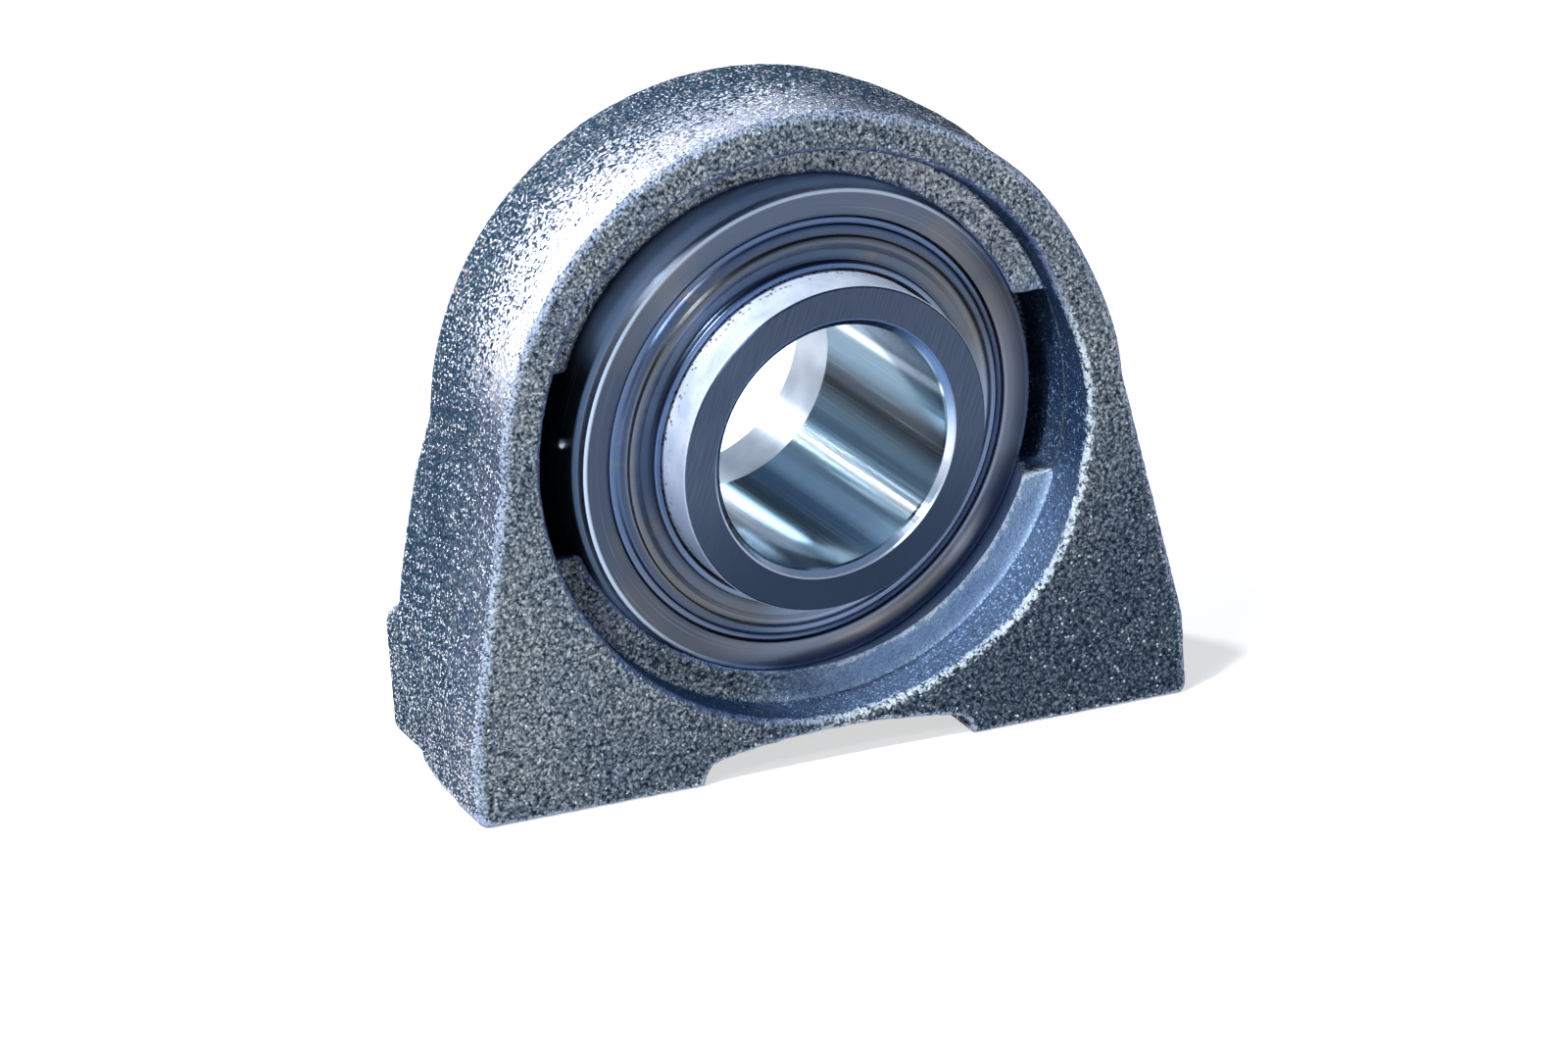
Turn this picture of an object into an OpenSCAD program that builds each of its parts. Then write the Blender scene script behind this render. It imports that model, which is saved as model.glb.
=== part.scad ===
// Pillow block bearing with a tapped base and a self-aligning ball insert.
// Origin: on the base plane, under the bearing centre and midway between the tapped holes.
// +X runs along the base, +Y to the back, +Z up. All sizes are in millimetres.

/* [Housing] */
// Height of the bearing centre above the base plane
centre_h = 50.2; // [49:0.1:54]
// Length of the base along X
base_len = 114; // [112:0.5:120]
// Distance from the bearing centre to the front face
front_d = 21.2; // [20:0.1:24]
// Distance from the bearing centre to the back of the arch
arch_back_d = 13; // [12:0.1:13.5]
// Distance from the bearing centre to the back of the shoulders beside the arch
shoulder_back_d = 21.4; // [19:0.1:23]
// Distance from the bearing centre to the back of the feet
foot_back_d = 29.5; // [27:0.5:33]
// Radius of the arch at its front and back edges
arch_r = 49.35; // [49:0.05:50.5]
// Bulge of the sides at the parting line
crown = 0.5; // [0.2:0.1:0.8]
// Radius of the rounded front edge
front_edge_r = 1.5; // [1:0.1:2]
// Radius of the rounded back edge of the arch
back_edge_r = 1.8; // [1.5:0.1:2.4]
// Slope of the flanks below the arch, from upright
flank_deg = 10.9; // [10:0.1:12]
// Height of the upright sides of the feet
foot_side_h = 12.2; // [11:0.1:14]
// Height of the feet where they reach out behind the arch
foot_back_h = 22.2; // [20:0.1:23]
// Radius of the rounded top edge at the back of the feet
foot_top_r = 10.5; // [8:0.5:12]
// Radius of the upright back corners of the feet
foot_corner_r = 2.5; // [2:0.5:5]
// Setback of the back half's sides behind the arch
back_inset = 1; // [0.6:0.1:1.4]
// Narrowing of each side of the feet from front to back
foot_taper = 3.4; // [2.5:0.1:4]
// Narrowing of each side of the back half from front to back
back_taper = 1.9; // [0.5:0.1:2.5]
// Width of the slanted lower corners of the back half
sole_cut = 2.2; // [1:0.1:3]
// Height of the slanted lower corners of the back half
sole_cut_h = 8; // [5:0.5:11]
// Radius of the feet's lower corners, seen from the front
sole_corner_r = 1.5; // [1:0.1:2.5]

/* [Base relief] */
// Half width of the relief between the feet
relief_half = 21.3; // [19:0.1:23]
// Share of the casting's height under the recess that the relief takes in the middle
relief_share = 0.7; // [0.6:0.01:0.75]
// Radius of the relief's arched roof
relief_roof_r = 105; // [95:1:130]
// Radius of the relief's upper corners
relief_corner_r = 2.6; // [2:0.1:3]

/* [Recess and seat] */
// Radius of the round recess in front of and behind the seat
recess_r = 43.2; // [42.6:0.1:43.6]
// Radius of the rounded front edge of the recess
recess_edge_r = 0.7; // [0.4:0.1:1]
// Distance from the bearing centre to the ledge of the recess
ledge_d = 12.7; // [12:0.1:13.2]
// Fillet between the ledge and the recess wall
ledge_fillet_r = 1.4; // [1:0.1:2]
// Clearance between the outer ring's sphere and its seat
seat_gap = 0.06; // [0.04:0.01:0.09]
// Height of the two loading slots
slot_h = 28; // [27.4:0.1:30]
// Depth of the loading slots past the bearing centre
slot_past = 1.5; // [1:0.1:3]

/* [Tapped holes] */
// Distance between the two tapped holes
bolt_spacing = 84; // [80:0.5:88]
// Drilled radius of the tapped holes
bolt_r = 6; // [5:0.1:7]
// Depth of the tapped holes
bolt_depth = 20; // [16:0.5:22]

/* [Insert] */
// Turn of the insert about the upright axis, front face to the right
yaw_deg = 7.3; // [-9:0.1:9]
// Tip of the insert, front face down
pitch_deg = 5.8; // [-9:0.1:9]
// Radius of the outer ring's spherical outside
sphere_r = 40; // [39.8:0.1:40.2]
// Half width of the outer ring
outer_half = 13.2; // [12.9:0.1:13.5]
// Outer radius of the outer ring's flat face
face_r = 37.2; // [37:0.1:37.4]
// Radius of the outer ring's bore beside the raceway
outer_land_r = 33; // [32.8:0.1:33.2]
// Radius of the shaft bore
bore_r = 19.05; // [17:0.05:19.5]
// Distance from the insert's middle to the front end of the inner ring
inner_front_d = 21.4; // [20.5:0.1:22.5]
// Distance from the insert's middle to the back end of the inner ring
inner_back_d = 26.5; // [21:0.1:27]
// Outside radius of the inner ring's ends
inner_end_r = 25.4; // [25.2:0.1:25.5]
// Outside radius of the inner ring beside the raceway
inner_land_r = 26.3; // [26:0.1:26.6]
// Half length of the inner ring's raised middle
inner_land_half = 9.4; // [8.5:0.1:9.6]
// Chamfer at the ends of the bore
bore_chamfer = 1.2; // [0.6:0.1:1.6]
// Chamfer at the outer edges of the inner ring
inner_edge_chamfer = 0.35; // [0.2:0.05:0.5]

/* [Balls and cage] */
// Radius of a ball
ball_r = 6; // [5.8:0.05:6.1]
// Radius of the circle through the ball centres
pitch_r = 30; // [29.9:0.05:30.1]
// Radius of the raceway grooves' cross-section, as a multiple of the ball's
race_ratio = 1.04; // [1.03:0.005:1.06]
// Clearance between a ball and each raceway
race_gap = 0.04; // [0.03:0.01:0.08]
// Clearance between a ball and its cage pocket
pocket_gap = 0.15; // [0.1:0.01:0.2]
// Thickness of the cage's sheet
cage_t = 0.9; // [0.7:0.05:1.1]
// Width of the cage's band
cage_width = 4.6; // [4:0.1:4.8]
// Radius of a rivet's shank
rivet_r = 1; // [0.8:0.05:1.1]
// Radius of a rivet's head
rivet_head_r = 1.8; // [1.5:0.1:2]
// Height of a rivet's head
rivet_head_h = 0.8; // [0.6:0.05:1]

/* [Seals] */
// Thickness of the seal cap's sheet
cap_t = 0.7; // [0.5:0.05:0.8]
// Outer radius of the seal cap
cap_out_r = 34.2; // [33.9:0.1:34.3]
// Radius of the hole in the seal cap
cap_in_r = 26; // [25.9:0.05:26.2]
// Distance from the insert's middle to the cap's seat in the outer ring
cap_seat_d = 10.85; // [10.6:0.05:11]
// Radius of the cap's rounded ridge
ridge_r = 29.8; // [29.5:0.1:30]
// Clearance between the lips and the inner ring
lip_gap = 0.05; // [0.03:0.01:0.09]

/* [Locking pin] */
// Radius of the locking pin
pin_r = 1; // [0.8:0.05:1.2]
// Clearance of the locking pin in its hole
pin_gap = 0.04; // [0.02:0.01:0.08]
// Angle of the pin from the insert's middle plane towards the front
pin_fore_deg = 13.1; // [12:0.1:14]
// Angle of the pin above the horizontal, around the insert's axis
pin_up_deg = 7.5; // [4:0.1:10]
// Height of the pin above the outer ring's sphere
pin_proud = 1.7; // [1.4:0.1:1.9]
// Depth of the pin in the outer ring
pin_deep = 3.2; // [2.5:0.1:3.4]

/* [Hidden] */
$fn = 96;
eps = 0.01;

// Housing: places and sizes worked out from the driving dimensions
foot_half = base_len / 2;
shoulder_z = foot_side_h - centre_h;
relief_h = relief_share * (centre_h - recess_r);
flank_r = foot_half * cos(flank_deg) + shoulder_z * sin(flank_deg);
foot_lap = 4;
flank_low = -foot_half * sin(flank_deg) + shoulder_z * cos(flank_deg) - foot_lap;
arch_low = (foot_side_h - foot_lap) / 2 - centre_h;
parting_w = (front_d - arch_back_d) / 2;
seat_r = sphere_r + seat_gap;
far = 2 * base_len;

// Feet's sides: shares of their narrowing reached at the middle and behind the arch
taper_mid_d = 2;
taper_mid_share = 0.25;
taper_back_share = 0.7;

// Shoulders' back: where it leans in and swells, as shares of their height, and its top
shoulder_lean = 0.6;
lean_share = 0.52;
shoulder_swell = 6.5;
swell_share = 0.2;
back_top_z = arch_r / 6;
drill_tip_share = 0.6;

// Insert: raceways and pocket places, for the nine balls that have a node each
ball_count = 9;
race_r = ball_r * race_ratio;
outer_race_c = pitch_r + ball_r + race_gap - race_r;
inner_race_c = pitch_r - ball_r - race_gap + race_r;
ball_step = 360 / ball_count;
cage_in_r = pitch_r - cage_width / 2;
cage_out_r = pitch_r + cage_width / 2;
pocket_r = ball_r + pocket_gap;

// Ends of the outer ring: flat face, dished collar and the groove that holds the cap
face_width = 2.3;
dish_depth = 0.25;
collar_width = 0.5;
cap_fit = 0.1;
groove_slack = 0.45;
tip_gap = 0.2;
groove_r = cap_out_r + cap_fit;
lip_top_w = outer_half - dish_depth;
groove_top_w = cap_seat_d + cap_t + groove_slack;
collar_r = outer_land_r + collar_width;
dish_r = face_r - face_width;
hole_tip_r = sphere_r - pin_deep - tip_gap;

// Bends of the seal cap, from its rim to its hole: radii, and heights over the ring's face
cap_sink = 0.2;
rim_round = 0.4;
valley_round = 1.1;
ridge_round = 1.2;
ridge_h = 0.9;
flat_round = 1.35;
flat_h = 0.55;
collar_round = 0.3;
collar_h = 1.6;
bend_step = 1.4;

// Seal lips: depth behind the cap's seat, and the places of the lips along it
lip_depth = 0.6;
lip_count = 3;
lip_tip_share = 0.2;
lip_root_share = 0.9;
lip_front_share = 0.7;

function arc(cx, cy, r, from, to, steps = 8) =
    [for (i = [0:steps]) let (a = from + (to - from) * i / steps) [cx + r * cos(a), cy + r * sin(a)]];

// Turns a profile drawn as radius and distance towards the front about the insert's axis
module spin() {
    rotate([90, 0, 0]) rotate_extrude($fn = 180) children();
}

// Extrudes a profile drawn in X and Z along Y, from the front distance to the back distance
module along_y(front, back) {
    translate([0, back, 0]) rotate([90, 0, 0]) linear_extrude(back + front) children();
}

// Extrudes a profile drawn in Y and Z along the whole base
module along_x() {
    translate([-far / 2, 0, 0]) rotate([90, 0, 90]) linear_extrude(far) children();
}

// Extrudes a plan upwards from the base, to half way up the arch
module upright() {
    translate([0, 0, -centre_h]) linear_extrude(centre_h + arch_r / 2) children();
}

// Places a piece of the housing, drawn about the bearing centre
module at_centre() {
    translate([0, 0, centre_h]) children();
}

// Places a piece of the insert, drawn square to the base, at the insert's tilt
module in_seat() {
    at_centre() rotate([0, 0, yaw_deg]) rotate([pitch_deg, 0, 0]) children();
}

// Profile of a ball centred on the insert's axis
module half_disc(r) {
    intersection() {
        circle(r, $fn = 240);
        translate([0, -r - 1]) square([r + 1, 2 * r + 2]);
    }
}

// Side profile shared by the arch and its flanks: drafted both ways from the parting line
module side_profile(r) {
    polygon([[0, -arch_back_d], [r - back_edge_r, -arch_back_d], [r, back_edge_r - arch_back_d],
             [r + crown, parting_w], [r, front_d - front_edge_r], [r - front_edge_r, front_d],
             [0, front_d]]);
    translate([r - back_edge_r, back_edge_r - arch_back_d]) circle(back_edge_r);
    translate([r - front_edge_r, front_d - front_edge_r]) circle(front_edge_r);
}

// One flank: the side profile swept down the straight slope beside the arch
module flank() {
    rotate([0, -flank_deg, 0]) translate([0, 0, flank_low])
        linear_extrude(-flank_low) mirror([0, 1]) side_profile(flank_r);
}

// Plan of the feet: widest just behind the front edge, narrowing towards the back
module foot_plan() {
    half = foot_half - front_edge_r;
    mid = foot_half - foot_taper * taper_mid_share;
    back = foot_half - foot_taper * taper_back_share;
    polygon([[-half, -front_d], [half, -front_d], [foot_half, front_edge_r - front_d],
             [foot_half, -arch_back_d], [mid, taper_mid_d], [back, arch_back_d], [-back, arch_back_d],
             [-mid, taper_mid_d], [-foot_half, -arch_back_d], [-foot_half, front_edge_r - front_d]]);
    for (side = [-1, 1])
        translate([side * half, front_edge_r - front_d]) circle(front_edge_r);
}

// Front view of the feet's outer limits, with rounded lower corners
module sole_outline() {
    half = foot_half - sole_corner_r;
    translate([-half, -centre_h]) square([2 * half, 2 * sole_corner_r]);
    translate([-foot_half, sole_corner_r - centre_h]) square([base_len, centre_h + arch_r]);
    for (side = [-1, 1])
        translate([side * half, sole_corner_r - centre_h]) circle(sole_corner_r);
}

// Front half: the arch with its flanks and the front of the feet
module front_body() {
    intersection() {
        spin() side_profile(arch_r);
        translate([-far / 2, -far / 2, arch_low]) cube(far);
    }
    intersection() {
        union() {
            for (side = [0, 1]) mirror([side, 0, 0]) flank();
            along_y(front_d, arch_back_d) translate([-foot_half, -centre_h])
                square([base_len, foot_side_h - foot_lap / 2]);
        }
        upright() foot_plan();
        along_y(front_d + 1, arch_back_d + 1) sole_outline();
    }
}

// Outline of the back half seen from the front, set back from the flanks
module back_outline() {
    low = foot_half - back_inset;
    rise = back_top_z - shoulder_z;
    high = low - rise * tan(flank_deg);
    sole = low - sole_cut;
    polygon([[-sole, -centre_h], [sole, -centre_h], [low, sole_cut_h - centre_h], [low, shoulder_z],
             [high, shoulder_z + rise], [-high, shoulder_z + rise], [-low, shoulder_z],
             [-low, sole_cut_h - centre_h]]);
}

// Plan of the back half: it narrows to the back and has rounded corners
module back_plan(back, corner) {
    near = foot_half - back_inset - back_taper / 2;
    end = foot_half - back_inset - back_taper;
    polygon([[-near, 0], [near, 0], [near, arch_back_d], [end, back - corner], [end - corner, back],
             [corner - end, back], [-end, back - corner], [-near, arch_back_d]]);
    for (side = [-1, 1])
        translate([side * (end - corner), back - corner]) circle(corner);
}

// Side view of the shoulders, which thicken downwards behind the arch
module shoulder_side() {
    polygon([[0, -centre_h], [shoulder_back_d, -centre_h], [shoulder_back_d, shoulder_z],
             [shoulder_back_d - shoulder_lean, shoulder_z * lean_share],
             [arch_back_d + shoulder_swell, shoulder_z * swell_share],
             [arch_back_d, back_top_z], [0, back_top_z]]);
}

// Side view of the feet, rounded at their top back edge
module foot_side() {
    translate([0, -centre_h]) {
        square([foot_back_d - foot_top_r, foot_back_h]);
        square([foot_back_d, foot_back_h - foot_top_r]);
        translate([foot_back_d - foot_top_r, foot_back_h - foot_top_r]) circle(foot_top_r, $fn = 120);
    }
}

// Back half: the shoulders, and the feet reaching out behind them
module back_body() {
    intersection() {
        along_y(0, foot_back_d) back_outline();
        union() {
            intersection() {
                along_x() shoulder_side();
                upright() back_plan(shoulder_back_d, foot_corner_r * 0.75);
            }
            intersection() {
                along_x() foot_side();
                upright() back_plan(foot_back_d, foot_corner_r);
            }
        }
    }
}

// Arched relief under the base, between the feet
module relief() {
    roof_c = relief_h - relief_roof_r;
    inner = relief_half - relief_corner_r;
    corner_z = roof_c + sqrt(pow(relief_roof_r - relief_corner_r, 2) - inner * inner);
    roof_half = inner * relief_roof_r / (relief_roof_r - relief_corner_r);
    translate([0, 0, -centre_h]) along_y(front_d + 1, foot_back_d + 1) {
        intersection() {
            translate([0, roof_c]) circle(relief_roof_r, $fn = 360);
            translate([-roof_half, -relief_corner_r]) square([2 * roof_half, centre_h]);
        }
        translate([-relief_half, -relief_roof_r]) square([2 * relief_half, corner_z + relief_roof_r]);
        for (side = [-1, 1])
            translate([side * inner, corner_z]) circle(relief_corner_r, $fn = 48);
    }
}

// Recess, ledge and spherical seat, with the clear passage behind the arch
module seat_hollow() {
    spin() {
        difference() {
            translate([0, ledge_d]) square([recess_r, front_d]);
            translate([recess_r - ledge_fillet_r, ledge_d - eps])
                square([ledge_fillet_r + eps, ledge_fillet_r + eps]);
        }
        translate([recess_r - ledge_fillet_r, ledge_d + ledge_fillet_r]) circle(ledge_fillet_r);
        half_disc(seat_r);
        translate([0, -foot_back_d - 1]) square([recess_r, foot_back_d + 1 - arch_back_d]);
        difference() {
            translate([recess_r - eps, front_d - recess_edge_r]) square([recess_edge_r, recess_edge_r + 1]);
            translate([recess_r + recess_edge_r, front_d - recess_edge_r]) circle(recess_edge_r);
        }
    }
}

// Two loading slots, through which the outer ring enters the seat edgewise
module loading_slots() {
    intersection() {
        spin() translate([0, -slot_past]) square([recess_r, slot_past + front_d]);
        along_y(front_d, slot_past) square([far, slot_h], center = true);
    }
}

// Tapped holes, drilled from below
module bolt_holes() {
    for (side = [-1, 1]) translate([side * bolt_spacing / 2, 0, 0]) {
        translate([0, 0, -1]) cylinder(h = bolt_depth + 1, r = bolt_r);
        translate([0, 0, bolt_depth - eps]) cylinder(h = bolt_r * drill_tip_share, r1 = bolt_r, r2 = 0);
    }
}

module housing() {
    color("slategray") difference() {
        at_centre() difference() {
            union() {
                front_body();
                back_body();
            }
            seat_hollow();
            loading_slots();
            relief();
        }
        bolt_holes();
    }
}

// Points a piece drawn along Z from the insert's middle out through the pin
module along_pin() {
    rotate([0, pin_up_deg, 0]) rotate([0, 0, pin_fore_deg]) rotate([0, -90, 0]) children();
}

module locking_pin() {
    color("gainsboro") in_seat() along_pin() {
        translate([0, 0, sphere_r - pin_deep])
            cylinder(h = pin_deep + pin_proud - pin_r, r = pin_r, $fn = 48);
        translate([0, 0, sphere_r + pin_proud - pin_r]) sphere(pin_r, $fn = 48);
    }
}

// Corners of the outer ring's cross-section between its outside and the land beside the raceway
outer_corners = [[sphere_r + 1, outer_half - 3], [face_r, outer_half], [dish_r, outer_half],
                 [collar_r, lip_top_w], [collar_r, groove_top_w], [groove_r, groove_top_w],
                 [groove_r, cap_seat_d], [outer_land_r, cap_seat_d]];

module outer_ring() {
    color("lightsteelblue") in_seat() difference() {
        spin() difference() {
            intersection() {
                circle(sphere_r, $fn = 240);
                polygon(concat(outer_corners, [for (i = [len(outer_corners) - 1:-1:0])
                    [outer_corners[i][0], -outer_corners[i][1]]]));
            }
            translate([outer_race_c, 0]) circle(race_r);
        }
        along_pin() translate([0, 0, hole_tip_r])
            cylinder(h = sphere_r, r = pin_r + pin_gap, $fn = 48);
    }
}

module inner_ring() {
    chamfer_out_r = bore_r + bore_chamfer;
    edge_r = inner_end_r - inner_edge_chamfer;
    color("silver") in_seat() spin() difference() {
        union() {
            polygon([[bore_r, bore_chamfer - inner_back_d], [chamfer_out_r, -inner_back_d],
                     [edge_r, -inner_back_d], [inner_end_r, inner_edge_chamfer - inner_back_d],
                     [inner_end_r, inner_front_d - inner_edge_chamfer], [edge_r, inner_front_d],
                     [chamfer_out_r, inner_front_d], [bore_r, inner_front_d - bore_chamfer]]);
            translate([chamfer_out_r, -inner_land_half])
                square([inner_land_r - chamfer_out_r, 2 * inner_land_half]);
        }
        translate([inner_race_c, 0]) circle(race_r);
    }
}

// Places copies of a piece at the balls, or midway between them
module around(offset_steps = 0) {
    for (i = [0:ball_count - 1])
        rotate([0, -(i + offset_steps) * ball_step, 0]) translate([pitch_r, 0, 0]) children();
}

module ball(i) {
    color("whitesmoke") in_seat() rotate([0, -(i - 1) * ball_step, 0]) translate([pitch_r, 0, 0])
        sphere(ball_r, $fn = 96);
}

// Ball with its poles in line with the insert's axis-to-rim direction
module radial_ball(r) {
    rotate([0, 90, 0]) rotate([0, 0, 90]) sphere(r, $fn = 96);
}

// Front half of the cage: flats at the rivets, and a rounded pocket over each ball
module cage_half() {
    difference() {
        intersection() {
            spin() translate([cage_in_r, 0]) square([cage_out_r - cage_in_r, 2 * ball_r]);
            union() {
                spin() translate([cage_in_r - 1, -1]) square([cage_out_r - cage_in_r + 2, cage_t + 1]);
                around() radial_ball(pocket_r + cage_t);
            }
        }
        around() radial_ball(pocket_r);
        around(0.5) rotate([90, 0, 0]) cylinder(h = 4 * cage_t, r = rivet_r, center = true, $fn = 32);
    }
}

module cage_front() {
    color("tan") in_seat() cage_half();
}

module cage_rear() {
    color("tan") in_seat() mirror([0, 1, 0]) cage_half();
}

module cage_rivets() {
    color("dimgray") in_seat() around(0.5) rotate([90, 0, 0]) {
        cylinder(h = 2 * cage_t, r = rivet_r, center = true, $fn = 32);
        for (side = [0, 1]) mirror([0, 0, side]) translate([0, 0, cage_t])
            rivet_head();
    }
}

// Domed head of a rivet, standing on the cage
module rivet_head() {
    dome_r = (rivet_head_r * rivet_head_r + rivet_head_h * rivet_head_h) / (2 * rivet_head_h);
    intersection() {
        translate([0, 0, rivet_head_h - dome_r]) sphere(dome_r, $fn = 64);
        cylinder(h = rivet_head_h, r = rivet_head_r, $fn = 32);
    }
}

// Outer surface of the seal cap, from its rim in the outer ring to its hole
function cap_surface() = concat(
    [[cap_out_r, cap_seat_d + cap_t], [outer_land_r - cap_fit, cap_seat_d + cap_t]],
    arc(outer_land_r - cap_fit - 2 * rim_round, outer_half - cap_sink - rim_round, rim_round, 0, 90, 4),
    [[ridge_r + bend_step + 0.5, outer_half - cap_sink], [ridge_r + bend_step + 0.35, outer_half]],
    arc(ridge_r + bend_step, outer_half + valley_round, valley_round, -72, -118, 5),
    arc(ridge_r, outer_half + ridge_h - ridge_round, ridge_round, 52, 118, 6),
    arc(ridge_r - bend_step, outer_half + flat_h + flat_round, flat_round, -62, -90, 3),
    [[cap_in_r + 1, outer_half + flat_h], [cap_in_r + 0.85, outer_half + collar_h - 0.4]],
    arc(cap_in_r + 0.55, outer_half + collar_h - collar_round, collar_round, 10, 90, 3),
    [[cap_in_r, outer_half + collar_h]]);

// Inner surface of the seal cap: the outer one moved back by the sheet's thickness
function cap_under() = [for (p = cap_surface()) [p[0], p[1] - cap_t]];

module seal_cap() {
    under = cap_under();
    spin() polygon(concat(cap_surface(), [for (i = [len(under) - 1:-1:0]) under[i]]));
}

// Rubber seal bonded under the cap, with three lips round the inner ring
module seal_lip() {
    tip_r = inner_end_r + lip_gap;
    back = cap_seat_d - lip_depth;
    root_r = cap_in_r + 1;
    bond_r = outer_land_r - 1.2;
    lip_step = (outer_half - back) / lip_count;
    under = [for (p = cap_under()) if (p[0] < outer_land_r - lip_depth) p];
    spin() polygon(concat([[bond_r, cap_seat_d], [bond_r, back], [root_r, back]],
        [for (i = [0:lip_count - 2]) each [[tip_r, back + lip_step * (i + lip_tip_share)],
                                           [root_r, back + lip_step * (i + lip_root_share)]]],
        [[tip_r, back + lip_step * (lip_count - 1 + lip_tip_share)],
         [tip_r + 0.15, back + lip_step * (lip_count - 1 + lip_front_share)],
         [tip_r + 0.25, outer_half + collar_h / 2]],
        [for (i = [len(under) - 1:-1:0]) under[i]]));
}

module front_seal_cap() {
    color("slategray") in_seat() seal_cap();
}

module front_seal_lip() {
    color("black") in_seat() seal_lip();
}

module rear_seal_cap() {
    color("slategray") in_seat() mirror([0, 1, 0]) seal_cap();
}

module rear_seal_lip() {
    color("black") in_seat() mirror([0, 1, 0]) seal_lip();
}

housing();
locking_pin();
outer_ring();
inner_ring();
ball(1);  // ball_1
ball(2);  // ball_2
ball(3);  // ball_3
ball(4);  // ball_4
ball(5);  // ball_5
ball(6);  // ball_6
ball(7);  // ball_7
ball(8);  // ball_8
ball(9);  // ball_9
cage_front();
cage_rear();
cage_rivets();
front_seal_cap();
front_seal_lip();
rear_seal_cap();
rear_seal_lip();
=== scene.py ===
import math

import bmesh
import bpy
import numpy as np
from mathutils import Matrix, Vector


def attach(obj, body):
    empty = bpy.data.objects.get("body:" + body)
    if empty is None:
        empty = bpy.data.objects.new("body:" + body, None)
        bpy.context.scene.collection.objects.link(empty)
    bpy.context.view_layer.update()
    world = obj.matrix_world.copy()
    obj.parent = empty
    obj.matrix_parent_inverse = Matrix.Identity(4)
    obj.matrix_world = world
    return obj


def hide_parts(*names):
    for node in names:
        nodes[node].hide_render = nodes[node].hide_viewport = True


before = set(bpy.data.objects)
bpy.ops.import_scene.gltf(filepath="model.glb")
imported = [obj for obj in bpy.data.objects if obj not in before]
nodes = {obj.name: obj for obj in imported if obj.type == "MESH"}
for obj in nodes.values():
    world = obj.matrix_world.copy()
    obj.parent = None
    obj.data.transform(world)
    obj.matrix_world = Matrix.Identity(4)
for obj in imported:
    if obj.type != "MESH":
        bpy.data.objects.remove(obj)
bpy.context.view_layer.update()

MM = 0.001

# Bearing centre in metres, and the insert's tilt in its seat, both as in the source
CENTRE = Vector((0.0, 0.0, 0.0502))
YAW = math.radians(7.3)
PITCH = math.radians(5.8)
INSERT = Matrix.Translation(CENTRE) @ Matrix.Rotation(YAW, 4, "Z") @ Matrix.Rotation(PITCH, 4, "X")

# Camera at the photograph's angle: turn in degrees, aim and distance in metres, lens in millimetres
CAM_AZ, CAM_EL, CAM_ROLL = -20.021, 18.157, -3.99
CAM_AIM = Vector((1.328, 0.0, -19.283)) * MM + CENTRE
CAM_DIST = 1.0925
CAM_LENS = 166.61
CAM_SENSOR = 36.0
CAM_NEAR, CAM_FAR = 0.01, 50.0


def camera():
    a, e, r = (math.radians(v) for v in (CAM_AZ, CAM_EL, CAM_ROLL))
    back = Vector((math.sin(a) * math.cos(e), -math.cos(a) * math.cos(e), math.sin(e)))
    right = (-back).cross(Vector((0, 0, 1))).normalized()
    up = right.cross(-back)
    right, up = math.cos(r) * right + math.sin(r) * up, math.cos(r) * up - math.sin(r) * right
    cam = bpy.data.cameras.new("camera")
    cam.lens = CAM_LENS
    cam.sensor_width = CAM_SENSOR
    cam.sensor_fit = "HORIZONTAL"
    cam.clip_start = CAM_NEAR
    cam.clip_end = CAM_FAR
    ob = bpy.data.objects.new("camera", cam)
    turn = Matrix((right, up, back)).transposed().to_4x4()
    ob.matrix_world = Matrix.Translation(CAM_AIM + back * CAM_DIST) @ turn
    bpy.context.scene.collection.objects.link(ob)
    bpy.context.scene.camera = ob


# Node helpers


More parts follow.
